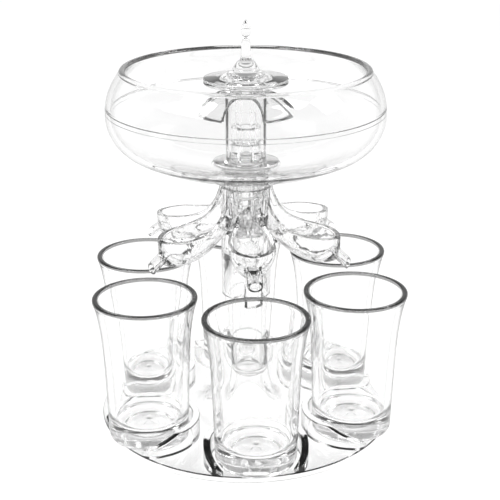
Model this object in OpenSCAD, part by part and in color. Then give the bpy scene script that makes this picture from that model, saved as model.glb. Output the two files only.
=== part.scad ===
// Party shot dispenser: a clear bowl with a lift-up drop valve feeds six spouts,
// each over its own shot glass on a round base plate. Millimetres, +Z up.
// The origin is the bottom centre of the base plate; the front glass stands towards -Y.

/* [Base plate] */
// Radius of the round plate
plate_r = 74.5; // [72:0.5:76]
// Thickness of the plate
plate_t = 3; // [2.4:0.1:4]
// Radius of the circle that the glasses stand on
glass_circle_r = 58.3; // [57:0.1:59]
// Room between a glass and its guard wall
guard_clearance = 2.1; // [1.6:0.1:2.4]
// Thickness of a guard wall
guard_wall = 3.4; // [2.4:0.1:3.8]
// Height of a guard at the hub side
guard_h = 10.5; // [9:0.5:14]
// Height of a guard beside the glass centre
guard_mid_h = 9.25; // [8.5:0.25:9.5]
// Slope of a guard down to the plate's edge, in degrees
guard_slope = 23.8; // [22:0.2:26]

/* [Pedestal] */
// Height of the pedestal above the plate
pedestal_h = 39; // [34:0.5:44]
// Radius at the pedestal's top
pedestal_top_r = 12.4; // [12.2:0.1:13.5]
// Radius where the pedestal runs into the plate
pedestal_foot_r = 30.5; // [27:0.5:31]
// Height of the pedestal's flared part above the plate
pedestal_flare_h = 29; // [26:0.5:32]
// Wall thickness of the hollow pedestal
pedestal_wall = 2.4; // [2:0.1:2.8]
// Depth of the socket for the column
socket_depth = 16; // [12:0.5:18]

/* [Shot glasses] */
// Height of a glass
glass_h = 73.4; // [70:0.1:75]
// Outer radius at the rim
glass_rim_r = 25; // [24:0.1:25.5]
// Outer radius of the straight lower body
glass_body_r = 19.5; // [19:0.1:19.8]
// Radius of the rounding at the foot
glass_foot_round = 3; // [2.8:0.1:4]
// Wall thickness at the rim
glass_wall = 2.6; // [2:0.1:3]
// Wall thickness above the floor
glass_low_wall = 3.4; // [3:0.1:4]
// Thickness of the heavy glass bottom
glass_floor_t = 9.5; // [7:0.5:12]
// Radius of the flat inner floor
glass_floor_r = 12.4; // [11:0.2:13]

/* [Column] */
// Outer radius of the column
column_r = 10.8; // [10.5:0.1:11.2]
// Outer radius of the spigot in the pedestal's socket
spigot_r = 10; // [9.6:0.1:10.2]
// Bore radius of the column
column_bore_r = 8.3; // [7.8:0.1:8.6]
// Length of the column above the pedestal
column_h = 46; // [44:0.5:50]
// Width of the two latch windows
latch_w = 9.2; // [7:0.2:10]
// Height of the latch windows
latch_h = 12.4; // [10:0.2:13]

/* [Diverter] */
// Outer radius of the sleeve round the column
sleeve_r = 12.3; // [12.1:0.1:13]
// Length of the sleeve below the column's top
sleeve_len = 22.4; // [20:0.2:24]
// Outer radius of the neck
neck_r = 12; // [11.6:0.1:12.4]
// Height of the neck's top above the column's top
neck_top = 33.5; // [32:0.5:36]
// Wall thickness of the spouts
spout_wall = 2.4; // [2:0.1:2.8]
// Distance of a spout's end wall from the axis
spout_end_r = 49.5; // [48:0.1:51]
// Half the width of a spout at its widest
spout_half_w = 11; // [10:0.1:11.6]
// Half the width of a spout where it leaves the neck
spout_neck_w = 5.2; // [4.8:0.1:5.6]
// Height of a spout's underside above the column's top
spout_lift = 0.1; // [0:0.1:1]
// Rise of the underside from the spout's end to the neck
keel_rise = 11.2; // [9:0.1:13]
// Drop of the rim as it sweeps down from the neck
rim_drop = 15.7; // [14:0.1:17]
// Distance in which that sweep dies away
rim_sweep = 5; // [4:0.1:7]
// Fall of the rim towards the spout's end, in degrees
rim_fall = 5.2; // [3:0.1:6]
// Half the width of an oval nozzle
nozzle_half_w = 3.7; // [3.4:0.1:4]
// Half the height of an oval nozzle
nozzle_half_h = 2.8; // [2.4:0.1:3.4]
// Wall thickness of a nozzle
nozzle_wall = 1; // [0.8:0.1:1.2]
// Slope of a nozzle below level, in degrees
nozzle_slope = 37; // [34:1:44]
// Distance of the nozzle's mouth from the axis
nozzle_reach = 54; // [53:0.1:55]
// Height of the nozzle's mouth above the column's top
nozzle_lift = 1.7; // [1:0.1:2.4]
// Width of the six inlet ports in the neck
inlet_w = 5.2; // [4:0.1:5.4]
// Height of the inlet ports
inlet_h = 6; // [4:0.1:7]

/* [Bowl] */
// Outer radius at the belly
bowl_r = 66.9; // [64:0.1:70]
// Outer radius at the rim
bowl_rim_r = 58.8; // [56:0.1:62]
// Height of the belly above the bowl's underside
bowl_belly_h = 31.5; // [29:0.5:34]
// Height of the rim above the bowl's underside
bowl_h = 52.5; // [49:0.5:56]
// Radius of the bend between the floor and the belly
bowl_bend_r = 21; // [18:0.5:23]
// Wall thickness
bowl_wall = 2.6; // [2:0.1:3.2]
// Height of the outer seam above the belly
seam_h = 3.7; // [3:0.1:5]
// Length of the lap under the seam
lap_h = 2.7; // [2:0.1:3]
// Thickness of the floor at the outlet
bowl_floor_t = 3.4; // [3:0.1:4]

/* [Outlet] */
// Outer radius of the threaded shank
shank_r = 9.2; // [9:0.1:9.5]
// Bore radius of the outlet
outlet_r = 6; // [5:0.1:6.4]
// Length of the shank below the lock nut
shank_drop = 8; // [6:0.5:9]
// Height of the lock nut
nut_h = 4.4; // [3.6:0.1:5]
// Thickness of the washer between nut and bowl
washer_t = 0.7; // [0.5:0.1:1.2]
// Radius of the flange on the bowl's floor
flange_r = 16; // [14:0.5:17]
// Thickness of the flange
flange_t = 1.8; // [1.4:0.1:2.4]
// Thickness of the gasket under the flange
gasket_t = 0.6; // [0.5:0.1:1]

/* [Valve tube] */
// Outer radius of the tube
tube_r = 9.75; // [9.6:0.05:10]
// Inner radius of the tube
tube_bore_r = 7.6; // [7.4:0.1:7.9]
// Height of the tube above its flange
tube_h = 36; // [35:0.2:38]
// Width of the guide window
window_w = 8.8; // [7:0.2:9.4]
// Height of the guide window
window_h = 15.8; // [15.6:0.1:17]
// Height of the window's sill above the flange
window_sill = 11.4; // [11:0.1:13]
// Width of the four inlet ports at the tube's foot
port_w = 7; // [5:0.2:8]
// Height of the inlet ports
port_h = 6; // [5:0.2:6.5]
// Thickness of the cap on the tube
cap_t = 2; // [1.6:0.1:2.6]
// Outer radius of the cap
cap_r = 10.4; // [10.2:0.1:11]

/* [Petal umbrella] */
// Outer radius of the dome's ball
dome_ball_r = 31.5; // [30:0.5:34]
// Thickness of the dome
dome_t = 1.5; // [1.2:0.1:2]
// Outer radius at the petals' tips
dome_r = 24.8; // [23:0.1:26]
// Half the width of an arch between two petals
arch_half_w = 9.4; // [8:0.2:10]
// Height of the hub ring under the cap
hub_ring_h = 2; // [1.6:0.1:2.6]

/* [Valve and knob] */
// Lift of the valve
valve_lift = 8; // [6:0.5:8]
// Outer radius of the hollow rod
rod_r = 5.1; // [4.6:0.1:5.3]
// Bore radius of the rod
rod_bore_r = 2.3; // [1.5:0.1:2.6]
// Height of the stopper
stopper_h = 8.4; // [7.5:0.1:9]
// Radius of the knob's disc
knob_r = 20.2; // [18:0.1:22]
// Thickness of one half of the disc
knob_half_t = 1.95; // [1.6:0.05:2.4]
// Gap between the cap and the knob
knob_gap = 0.8; // [0.5:0.1:2]
// Height of the splash above the disc
splash_h = 8; // [6:0.1:10]
// Height of the stalk above the splash
stalk_h = 9.6; // [8:0.1:12]
// Height of the drop on the stalk
drop_h = 8.9; // [7:0.1:10]
// Largest radius of the drop
drop_r = 2.4; // [2:0.1:3]

/* [Fits] */
// Radial clearance of a sliding or pushed-in fit
fit = 0.05; // [0.03:0.01:0.08]
// Corner rounding of moulded edges
edge = 0.8; // [0.4:0.1:1]

/* [Hidden] */
$fn = 96;
places = 6;                 // glasses, guards and spouts
petals = 4;                 // petals of the umbrella
view_turn = -5;             // turn of the valve tube's window from the front
petal_turn = -8;            // turn of the petals from the front
cut = 0.5;                  // overlap of a cutting tool past a face
gap = 0.3;                  // room between pieces that move apart
grips = 16;                 // grip notches of the lock nut
ring_r = 0.6;               // half thickness of the shank's O-ring
seal_t = 1.6;               // thickness of the stopper's seal
guide_h = 7;                // height of the guide in the window
boss_h = 1.6;               // boss of the knob's lower half inside its upper half
boss_r = rod_r + 2.6;
stem_r = outlet_r / 2;      // stem that holds the seal on the stopper
button_r = stem_r + 1;
button_h = 1.5;
stopper_r = tube_bore_r - 0.5;
splitter_h = 8;             // height of the cone that splits the flow
splash_rise = 2.2;          // rise of the disc's top towards the splash
splash_r = 5.8;
stalk_r = 2.3;
neck_bore_r = shank_r + gap;
groove_r = neck_bore_r - fit - 2 * ring_r + 0.1;
neck_in = tube_r - 0.75;    // turned-down end of the valve tube under the umbrella

// Levels of the stack, from the table up
z_pedestal = plate_t + pedestal_h;
z_socket = z_pedestal - socket_depth;
z_column = z_pedestal + column_h;
z_sleeve = z_column - sleeve_len;
z_neck = z_column + neck_top;
z_bowl = z_neck + nut_h + washer_t;
z_floor = z_bowl + bowl_floor_t;
z_flange = z_floor + gasket_t;
z_tube = z_flange + flange_t;
z_cap = z_tube + tube_h;
z_knob = z_cap + cap_t + knob_gap;
z_disc = z_knob + 2 * knob_half_t;
z_belly = z_bowl + bowl_belly_h;
z_rim = z_bowl + bowl_h;
z_knob_mid = z_knob + knob_half_t;
z_seal = z_tube + gap;
z_stopper = z_seal + seal_t;
z_rod = z_stopper + 2.4;

function arc(c, r, a0, a1, n = 16) =
  [for (i = [0:n]) let (a = a0 + (a1 - a0) * i / n) [c[0] + r * cos(a), c[1] + r * sin(a)]];
function mix(a, b, t) = a + (b - a) * t;
function ease(t) = let (u = min(1, max(0, t))) u * u * (3 - 2 * u);

module ring(outer, inner, h) {
  difference() {
    cylinder(r = outer, h = h);
    translate([0, 0, -cut]) cylinder(r = inner, h = h + 2 * cut);
  }
}

module each_place() {
  for (i = [0:places - 1]) rotate(i * 360 / places) children();
}

// ---- Base plate with six guards and a hollow flared pedestal ----

guard_inner = glass_body_r + guard_clearance;
guard_outer = guard_inner + guard_wall;
flare_steps = 14;

// Quarter of an ellipse from the foot, level, to the top, upright
function flare(foot, top, z0, z1) = [for (i = [0:flare_steps]) let (a = 90 * i / flare_steps)
  [foot - (foot - top) * sin(a), z1 - (z1 - z0) * cos(a)]];

module guard() {
  translate([0, -glass_circle_r, plate_t - cut]) difference() {
    ring(guard_outer, guard_inner, guard_h + cut);
    translate([0, 0, guard_mid_h + cut]) rotate([guard_slope, 0, 0])
      translate([-2 * guard_outer, -2 * guard_outer, 0]) cube([4 * guard_outer, 4 * guard_outer, 2 * guard_h]);
  }
}

module pedestal_outer() {
  rotate_extrude() polygon(concat([[0, 0], [pedestal_foot_r, 0]],
    flare(pedestal_foot_r, pedestal_top_r, plate_t, plate_t + pedestal_flare_h),
    [[pedestal_top_r, z_pedestal - edge], [pedestal_top_r - edge, z_pedestal], [0, z_pedestal]]));
}

module pedestal_hollow() {
  hollow_r = pedestal_top_r - pedestal_wall - edge;
  rotate_extrude() polygon(concat([[0, -cut], [pedestal_foot_r - pedestal_wall, -cut]],
    flare(pedestal_foot_r - pedestal_wall, hollow_r, 0, z_socket - pedestal_wall),
    [[0, z_socket - pedestal_wall]]));
}

module base_plate() {
  color([0.93, 0.95, 0.96, 0.5]) difference() {
    union() {
      rotate_extrude() polygon([[0, 0], [plate_r - edge, 0], [plate_r, edge],
        [plate_r, plate_t - edge / 2], [plate_r - edge / 2, plate_t], [0, plate_t]]);
      intersection() {
        each_place() guard();
        cylinder(r = plate_r - edge / 2, h = plate_t + 2 * guard_h);
      }
      pedestal_outer();
    }
    pedestal_hollow();
    translate([0, 0, z_socket]) cylinder(r = spigot_r + fit, h = socket_depth + cut);
  }
}

// ---- Column ----

module column_tube() {
  z_latch = z_sleeve - latch_h / 2 + edge;
  color([0.9, 0.93, 0.95, 0.5]) difference() {
    union() {
      translate([0, 0, z_socket]) cylinder(r = spigot_r, h = socket_depth + cut);
      translate([0, 0, z_pedestal]) cylinder(r = column_r, h = column_h);
    }
    translate([0, 0, z_socket - cut]) cylinder(r = column_bore_r, h = socket_depth + column_h + 2 * cut);
    for (a = [0, 180]) rotate(a + 22) translate([-latch_w / 2, -2 * column_r, z_latch])
      cube([latch_w, 2 * column_r, latch_h]);
  }
}

// ---- Diverter: neck over the column, and six open spouts with nozzles ----

spout_root_r = neck_bore_r + 1;  // where a spout starts, inside the neck's wall
spout_full_r = 32;          // where a spout reaches its full width
keel_flat_r = 40.5;         // where its underside becomes level
end_round = 11;             // rounding of the end, along the spout
rim_step = 0.4;             // step between the neck's top and the rims
body_steps = 12;
side_steps = 12;
end_angles = [14, 30, 46, 60, 72, 81, 86];
outer_corner = 0.25;        // powers of the end's lower corner, outside and inside
inner_corner = 0.67;

// Half width, underside and rim of a spout at a distance from the axis
function spout_w(r) = mix(spout_neck_w, spout_half_w, ease((r - neck_r) / (spout_full_r - neck_r)));
function spout_b(r) = z_column + spout_lift
  + keel_rise * pow(max(0, (keel_flat_r - r) / (keel_flat_r - neck_r)), 2);
function spout_t(r) = let (d = max(0, r - neck_r))
  z_neck - rim_step - rim_drop * (1 - exp(-d / rim_sweep)) - d * tan(rim_fall);
// Stations along a spout: [distance, share of the width, share of the depth]
function stations(m, corner) = let (e = spout_end_r - m, n = end_round - m / 2, s = e - n) concat(
  [for (i = [0:body_steps]) [mix(spout_root_r, s, pow(i / body_steps, 1.6)), 1, 1]],
  [for (a = end_angles) [s + n * pow(sin(a), 1.2), pow(cos(a), 1.2), pow(cos(a), corner)]]);
// Half an ellipse that hangs from the rim, with straight sides up to the lid
function section(st, m, lid) = let (t = spout_t(st[0]), w = (spout_w(st[0]) - m) * st[1],
  d = (t - spout_b(st[0]) - m) * st[2]) concat([[st[0], -w, t + lid]],
  [for (j = [0:side_steps]) let (p = -90 + 180 * j / side_steps) [st[0], w * sin(p), t - d * cos(p)]],
  [[st[0], w, t + lid]]);

module loft(rows) {
  n = len(rows[0]);
  m = len(rows);
  points = [for (row = rows, p = row) p];
  sides = [for (k = [0:m - 2], i = [0:n - 1]) let (j = (i + 1) % n,
    a = k * n + i, b = k * n + j, c = (k + 1) * n + j, d = (k + 1) * n + i) each [[b, a, d], [b, d, c]]];
  polyhedron(points, concat([[for (i = [0:n - 1]) i]], sides, [[for (i = [n - 1:-1:0]) (m - 1) * n + i]]));
}

module spout_shell() {
  rotate(-90) difference() {
    loft([for (st = stations(0, outer_corner)) section(st, 0, cut / 50)]);
    loft([for (st = stations(spout_wall, inner_corner)) section(st, spout_wall, 12 * cut)]);
  }
}

// Oval tube with an upright mouth; m inside the outer face, from inside the spout to past the mouth
module nozzle(m, inward, outward) {
  translate([0, -nozzle_reach, z_column + nozzle_lift])
    multmatrix([[1, 0, 0, 0], [0, 1, 0, 0], [0, tan(nozzle_slope), 1, 0]]) rotate([90, 0, 0])
      translate([0, 0, -inward]) linear_extrude(inward + outward)
        scale([nozzle_half_w - m, nozzle_half_h - m]) circle(r = 1, $fn = 40);
}

module diverter() {
  z_core = spout_b(neck_r) + spout_wall;
  root = nozzle_reach - spout_end_r + 0.85 * spout_wall;
  roof = 2 * spout_wall;
  color([0.88, 0.91, 0.94, 0.5]) difference() {
    union() {
      each_place() spout_shell();
      each_place() nozzle(0, root, 0);
      rotate_extrude() polygon([[0, z_sleeve], [sleeve_r, z_sleeve], [sleeve_r, z_column],
        [neck_r, z_core - spout_wall / 2], [neck_r, z_neck], [0, z_neck]]);
    }
    each_place() nozzle(nozzle_wall, root + 2 * spout_wall, cut);
    each_place() translate([-inlet_w / 2, -neck_r - cut / 2, z_core])
      cube([inlet_w, neck_r - neck_bore_r + 2 * cut, inlet_h]);
    rotate_extrude() polygon([[0, z_core + splitter_h], [neck_bore_r, z_core],
      [neck_bore_r, z_neck + cut], [0, z_neck + cut]]);
    rotate_extrude() polygon([[0, z_sleeve - cut], [column_r + fit, z_sleeve - cut],
      [column_r + fit, z_column], [column_bore_r, z_column], [column_bore_r, z_core - roof],
      [0, z_core + splitter_h - roof]]);
  }
}

// ---- Lock nut and washer that clamp the valve tube's shank under the bowl ----

module lock_nut() {
  color([0.9, 0.93, 0.95, 0.5]) difference() {
    rotate_extrude() polygon([[shank_r + fit, z_neck + gap], [neck_r - edge / 2, z_neck + gap],
      [neck_r, z_neck + gap + edge / 2], [neck_r, z_neck + nut_h - edge / 2],
      [neck_r - edge / 2, z_neck + nut_h], [shank_r + fit, z_neck + nut_h]]);
    for (i = [0:grips - 1]) rotate(i * 360 / grips)
      translate([neck_r + 0.3, 0, z_neck]) cylinder(r = 0.9, h = nut_h + cut, $fn = 24);
  }
}

module nut_washer() {
  color([0.95, 0.95, 0.93, 0.7]) translate([0, 0, z_neck + nut_h]) ring(neck_r - edge, shank_r + fit, washer_t);
}

// ---- Bowl in two shells that lap at the belly ----

bend_c = bowl_r - bowl_bend_r;
dish_r = (pow(bend_c, 2) + pow(bowl_belly_h, 2) - pow(bowl_bend_r, 2)) / (2 * (bowl_belly_h - bowl_bend_r));
dish_a = asin(bend_c / (dish_r - bowl_bend_r));
rim_in = bowl_r - bowl_rim_r;
crown_h = bowl_h - bowl_belly_h;
crown_power = 2.16;
lap_r = bowl_r - bowl_wall / 2;
seat_r = neck_r + edge;
z_seam = z_belly + seam_h;
z_lap = z_seam - lap_h;

// Outline of the bowl's skin, m inside its outer face, from the middle to the belly
function dish(m, r0) = let (a0 = asin(r0 / (dish_r - m))) concat(
  arc([0, z_bowl + dish_r], dish_r - m, 270 + a0, 270 + dish_a, 12),
  arc([bend_c, z_belly], bowl_bend_r - m, 270 + dish_a, 360, 12));
// The same for the skin above the belly, between two heights: the power of the height sets how far
// it draws in, and the slope there how much wider than m the wall is when measured level
function crown(m, z0, z1) = [for (i = [0:10]) let (z = mix(z0, z1, i / 10), t = (z - z_belly) / crown_h,
  slope = crown_power * rim_in / crown_h * pow(t, crown_power - 1))
  [bowl_r - rim_in * pow(t, crown_power) - m * sqrt(1 + pow(slope, 2)), z]];
function reversed(p) = [for (i = [len(p) - 1:-1:0]) p[i]];

module bowl_lower() {
  pad_r = flange_r + edge;
  color([0.93, 0.95, 0.97, 0.45]) rotate_extrude() polygon(concat(
    [[shank_r + fit, z_bowl], [seat_r, z_bowl]], dish(0, seat_r + 0.5), crown(0, z_belly + 0.5, z_seam),
    [[lap_r, z_seam], [lap_r, z_lap]], reversed(crown(bowl_wall, z_belly + 0.5, z_lap)),
    reversed(dish(bowl_wall, pad_r)), [[pad_r, z_floor], [shank_r + fit, z_floor]]));
}

module bowl_collar() {
  outer = crown(0, z_seam, z_rim - bowl_wall / 2);
  inner = crown(bowl_wall, z_lap, z_rim - bowl_wall / 2);
  tip = (outer[10] + inner[10]) / 2;
  color([0.93, 0.95, 0.97, 0.45]) rotate_extrude() polygon(concat(
    outer, arc(tip, bowl_wall / 2, 25, 155, 8), reversed(inner), [[lap_r - fit, z_lap], [lap_r - fit, z_seam]]));
}

// ---- Outlet and valve tube ----

module outlet_gasket() {
  color([0.95, 0.95, 0.93, 0.7]) translate([0, 0, z_floor]) ring(flange_r, shank_r + fit, gasket_t);
}

module valve_tube() {
  z_foot = z_neck - shank_drop;
  z_groove = z_neck - shank_drop / 2;
  color([0.9, 0.93, 0.96, 0.5]) difference() {
    rotate_extrude() polygon([[outlet_r, z_foot], [shank_r - edge, z_foot], [shank_r, z_foot + edge],
      [shank_r, z_groove - ring_r], [groove_r, z_groove - ring_r], [groove_r, z_groove + ring_r],
      [shank_r, z_groove + ring_r], [shank_r, z_flange], [flange_r - edge / 2, z_flange],
      [flange_r, z_flange + edge / 2], [flange_r - edge / 2, z_tube], [tube_r, z_tube],
      [tube_r, z_cap - hub_ring_h], [neck_in, z_cap - hub_ring_h], [neck_in, z_cap],
      [tube_bore_r, z_cap], [tube_bore_r, z_tube], [outlet_r, z_tube]]);
    for (a = [0:90:270]) rotate(a + view_turn + 45) translate([-port_w / 2, 0, z_tube + edge])
      cube([port_w, 2 * tube_r, port_h]);
    rotate(view_turn) translate([-window_w / 2, -2 * tube_r, z_tube + window_sill])
      cube([window_w, 2 * tube_r, window_h]);
  }
}

module shank_o_ring() {
  color([0.25, 0.26, 0.27]) translate([0, 0, z_neck - shank_drop / 2]) rotate_extrude()
    translate([neck_bore_r - fit - ring_r, 0]) circle(r = ring_r, $fn = 36);
}

module petal_umbrella() {
  z_ball = z_cap - hub_ring_h + gap - sqrt(pow(dome_ball_r - dome_t, 2) - pow(cap_r, 2));
  z_tip = z_ball + sqrt(pow(dome_ball_r, 2) - pow(dome_r, 2));
  color([0.88, 0.91, 0.94, 0.5]) difference() {
    union() {
      rotate_extrude() polygon(concat(
        arc([0, z_ball], dome_ball_r, acos(dome_r / dome_ball_r), acos(cap_r / dome_ball_r), 16),
        arc([0, z_ball], dome_ball_r - dome_t, acos(cap_r / (dome_ball_r - dome_t)),
          acos((dome_r - dome_t / 2) / (dome_ball_r - dome_t)), 16)));
      translate([0, 0, z_cap - hub_ring_h]) cylinder(r = cap_r + gap, h = hub_ring_h);
    }
    translate([0, 0, z_tip]) cylinder(r = neck_in + fit, h = z_cap + cut - z_tip);
    for (i = [0:petals - 1]) rotate(i * 360 / petals + petal_turn)
      translate([0, -cap_r - 2 * gap, z_tip + gap]) rotate([90, 0, 0]) cylinder(r = arch_half_w, h = 2 * dome_r);
  }
}

module tube_cap() {
  color([0.9, 0.93, 0.95, 0.5]) rotate_extrude() polygon([[rod_r + fit, z_cap - hub_ring_h],
    [tube_bore_r - fit, z_cap - hub_ring_h], [tube_bore_r - fit, z_cap], [cap_r - edge / 4, z_cap],
    [cap_r, z_cap + edge / 4], [cap_r, z_cap + cap_t - edge / 2], [cap_r - edge / 2, z_cap + cap_t],
    [rod_r + fit, z_cap + cap_t]]);
}

// ---- Drop valve that the knob lifts ----

module valve_rod() {
  color([0.9, 0.93, 0.95, 0.5]) translate([0, 0, z_rod]) ring(rod_r, rod_bore_r, z_knob_mid + boss_h - z_rod);
}

module rod_guide() {
  z_guide = z_tube + window_sill + gap;
  color([0.9, 0.93, 0.95, 0.6]) difference() {
    union() {
      translate([0, 0, z_guide]) cylinder(r = tube_bore_r - gap, h = guide_h);
      rotate(view_turn) translate([gap - window_w / 2, gap - tube_r, z_guide])
        cube([window_w - 2 * gap, tube_r - gap, guide_h]);
    }
    translate([0, 0, z_guide - cut]) cylinder(r = rod_r - fit, h = guide_h + 2 * cut);
  }
}

module stopper() {
  color([0.9, 0.93, 0.95, 0.6]) rotate_extrude() polygon([[0, z_seal - button_h], [button_r, z_seal - button_h],
    [button_r, z_seal], [stem_r, z_seal], [stem_r, z_stopper], [stopper_r - edge / 2, z_stopper],
    [stopper_r, z_stopper + edge / 2], [stopper_r, z_stopper + stopper_h - edge],
    [stopper_r - edge, z_stopper + stopper_h], [rod_r - fit, z_stopper + stopper_h], [rod_r - fit, z_rod], [0, z_rod]]);
}

module stopper_seal() {
  color([0.95, 0.95, 0.93, 0.8]) translate([0, 0, z_seal]) ring(stopper_r, stem_r, seal_t);
}

module knob_base() {
  color([0.92, 0.94, 0.96, 0.5]) rotate_extrude() polygon(concat(
    [[rod_r - fit, z_knob], [cap_r + edge, z_knob], [knob_r - 1.5 * edge, z_knob + knob_half_t / 2]],
    arc([knob_r - edge, z_knob_mid - edge], edge, -50, 60, 8),
    [[knob_r - edge, z_knob_mid], [boss_r, z_knob_mid], [boss_r, z_knob_mid + boss_h],
      [rod_r - fit, z_knob_mid + boss_h]]));
}

module splash_cap() {
  z_splash = z_disc + splash_rise;
  z_stalk = z_disc + splash_h;
  z_drop = z_stalk + stalk_h;
  color([0.92, 0.94, 0.96, 0.5]) rotate_extrude() polygon(concat(
    [[0, z_knob_mid + boss_h], [boss_r + fit, z_knob_mid + boss_h], [boss_r + fit, z_knob_mid],
      [knob_r - edge, z_knob_mid]],
    arc([knob_r - edge, z_knob_mid + edge], edge, -60, 50, 8),
    [[0.6 * knob_r, z_disc + splash_rise / 3]],
    arc([1.5 * splash_r, z_splash + splash_r / 2], splash_r / 2, 250, 190, 6),
    [[0.62 * splash_r, z_stalk - edge / 2], [stalk_r + edge / 3, z_stalk], [stalk_r, z_stalk + stalk_h / 5],
      [0.9 * stalk_r, z_drop - stalk_h / 5], [0.7 * stalk_r, z_drop]],
    [for (u = [1 / 7:1 / 7:6.5 / 7]) [drop_r * pow(sin(180 * pow(u, 0.8)), 0.8), z_drop + drop_h * u]],
    [[0, z_drop + drop_h]]));
}

// ---- Shot glasses ----

function glass_out(t) = glass_body_r + (glass_rim_r - glass_body_r) * (0.36 * t + 0.64 * pow(t, 6));
function glass_in(t) = glass_out(t) - mix(glass_low_wall, glass_wall, t);

module shot_glass() {
  h = glass_h - glass_wall / 2;
  t_foot = glass_foot_round / h;
  inner_round = glass_in(glass_floor_t / h) - glass_floor_r;
  t_floor = (glass_floor_t + inner_round) / h;
  steps = 12;
  tip = (glass_out(1) + glass_in(1)) / 2;
  rotate_extrude() polygon(concat([[0, edge / 2], [glass_floor_r, edge / 2], [glass_floor_r + edge, 0]],
    arc([glass_body_r - glass_foot_round, glass_foot_round], glass_foot_round, 270, 350, 6),
    [for (i = [0:steps]) let (t = mix(t_foot, 1, i / steps)) [glass_out(t), t * h]],
    arc([tip, h], glass_wall / 2, 25, 155, 6),
    [for (i = [steps:-1:0]) let (t = mix(t_floor, 1, i / steps)) [glass_in(t), t * h]],
    arc([glass_floor_r, glass_floor_t + inner_round], inner_round, 345, 270, 6), [[0, glass_floor_t]]));
}

module glass_at(i) {
  color([0.92, 0.95, 0.97, 0.4]) rotate(i * 360 / places) translate([0, -glass_circle_r, plate_t]) shot_glass();
}

module shot_glass_front() glass_at(0);
module shot_glass_front_right() glass_at(1);
module shot_glass_back_right() glass_at(2);
module shot_glass_back() glass_at(3);
module shot_glass_back_left() glass_at(4);
module shot_glass_front_left() glass_at(5);

base_plate();
column_tube();
diverter();
lock_nut();
nut_washer();
bowl_lower();
bowl_collar();
outlet_gasket();
valve_tube();
shank_o_ring();
petal_umbrella();
tube_cap();
valve_rod();
rod_guide();
stopper();
stopper_seal();
knob_base();
splash_cap();
shot_glass_front();
shot_glass_front_right();
shot_glass_back_right();
shot_glass_back();
shot_glass_back_left();
shot_glass_front_left();
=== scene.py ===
import math
import bmesh
import bpy
import numpy as np
from mathutils import Matrix, Vector


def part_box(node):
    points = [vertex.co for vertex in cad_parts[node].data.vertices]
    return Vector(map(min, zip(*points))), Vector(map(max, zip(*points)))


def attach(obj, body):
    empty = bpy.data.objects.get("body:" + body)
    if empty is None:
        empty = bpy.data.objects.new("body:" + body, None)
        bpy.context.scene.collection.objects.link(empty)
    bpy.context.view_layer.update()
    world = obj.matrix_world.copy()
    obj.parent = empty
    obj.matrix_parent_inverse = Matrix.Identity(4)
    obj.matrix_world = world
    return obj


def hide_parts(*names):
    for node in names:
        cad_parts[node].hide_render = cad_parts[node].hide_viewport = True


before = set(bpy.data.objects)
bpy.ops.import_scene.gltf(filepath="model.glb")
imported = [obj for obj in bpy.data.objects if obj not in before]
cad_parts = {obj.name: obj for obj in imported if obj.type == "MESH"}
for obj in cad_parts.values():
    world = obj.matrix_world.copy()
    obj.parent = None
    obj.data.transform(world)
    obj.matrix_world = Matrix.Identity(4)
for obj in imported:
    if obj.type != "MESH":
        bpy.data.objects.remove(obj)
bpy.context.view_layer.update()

mm = 0.001
hair = 0.03    # room between pieces that touch, so that no two faces share a plane
weld = 2e-6    # metres within which two points are one
toolReach = 20    # how far a cutter runs out from the axis
print("frame loaded:", len(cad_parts), "nodes")

cameraSetup = {
    "place": (-0.04124, -0.52493, 0.28288),
    "aim": (0.0769, 0.9345, -0.3476),
    "lens": 81.14,
    "sensor": 36,
}


def makeCamera():
    data = bpy.data.cameras.new("camera")
    data.lens = cameraSetup["lens"]
    data.sensor_width = cameraSetup["sensor"]
    camera = bpy.data.objects.new("camera", data)
    bpy.context.scene.collection.objects.link(camera)
    camera.location = cameraSetup["place"]
    camera.rotation_euler = Vector(cameraSetup["aim"]).to_track_quat("-Z", "Y").to_euler()
    bpy.context.scene.camera = camera


makeCamera()


def soften(points, radius, steps=4, least=12):
    # rounds each corner by a quadratic curve: p(t) = (1-t)^2 a + 2t(1-t) corner + t^2 b,
    # where a and b lie `radius` away from the corner; bends under `least` degrees stay
    points = np.asarray(points, float)
    t = np.linspace(0, 1, steps + 1)[:, None]
    out = []
    for i, corner in enumerate(points):
        a, b = points[i - 1] - corner, points[(i + 1) % len(points)] - corner
        la, lb = np.linalg.norm(a), np.linalg.norm(b)
        bend = math.degrees(math.acos(np.clip(-a @ b / max(la * lb, 1e-9), -1, 1)))
        if corner[0] < 1e-6 or bend < least:
            out.append(corner[None])
            continue
        cut = min(radius, 0.45 * la, 0.45 * lb)
        a, b = corner + a / la * cut, corner + b / lb * cut
        out.append((1 - t) ** 2 * a + 2 * t * (1 - t) * corner + t ** 2 * b)
    return np.concatenate(out)


def arc(centre, radius, start, end, steps=24):
    # centre + radius (cos a, sin a), with a from start to end in degrees
    a = np.radians(np.linspace(start, end, steps + 1))
    return np.column_stack([centre[0] + radius * np.cos(a), centre[1] + radius * np.sin(a)])


def ease(t):
    t = np.clip(t, 0, 1)
    return t * t * (3 - 2 * t)


def meshFrom(name, points, faces, crease=32):
    # a piece from whole arrays of points in millimetres, smooth but for folds past `crease` degrees
    mesh = bpy.data.meshes.new(name)
    loops = [tuple(f) for block in faces for f in np.asarray(block).tolist()]
    mesh.from_pydata((np.asarray(points) * mm).tolist(), [], loops)
    mesh.polygons.foreach_set("use_smooth", np.ones(len(mesh.polygons), bool))
    mesh.set_sharp_from_angle(angle=math.radians(crease))
    piece = bpy.data.objects.new(name, mesh)
    bpy.context.scene.collection.objects.link(piece)
    return piece


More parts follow.
